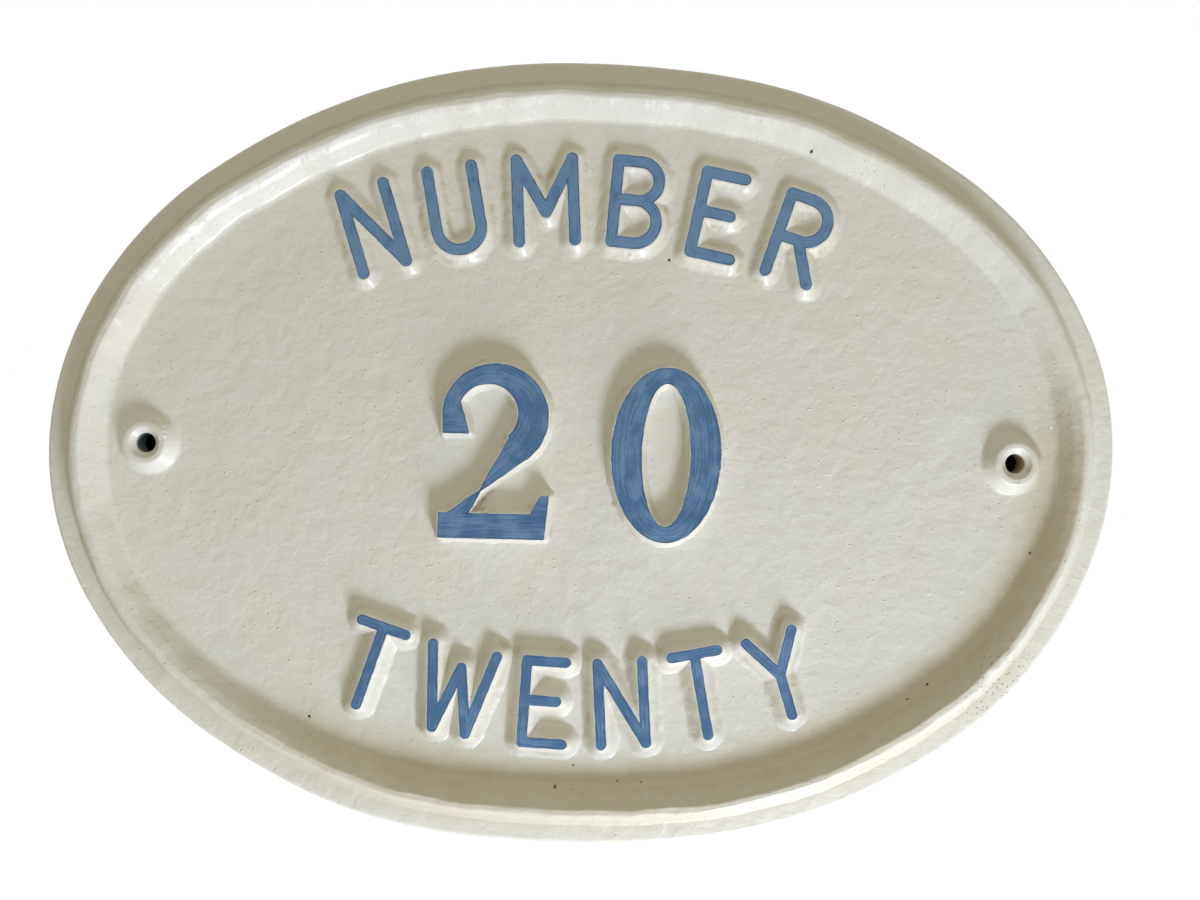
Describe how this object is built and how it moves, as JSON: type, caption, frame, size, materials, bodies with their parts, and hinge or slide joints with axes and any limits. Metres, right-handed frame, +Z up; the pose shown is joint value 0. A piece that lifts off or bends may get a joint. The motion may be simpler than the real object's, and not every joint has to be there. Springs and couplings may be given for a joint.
{
  "type": "address plaque",
  "caption": "Oval cast address plaque with a raised bead round its edge and raised painted numerals, fixed flat to a wall through screw holes in raised bosses.",
  "frame": {"origin": "centre of the flat back, midway between the two screw holes", "axes": "+X along the plaque's width through the screw holes, +Y into the wall, +Z up; the front faces -Y"},
  "size_m": [0.3, 0.0101, 0.22],
  "materials": {
    "cream_paint": "gloss"
  },
  "bodies": {
    "root": {"plaque": "cream_paint"}
  },
  "joints": []
}
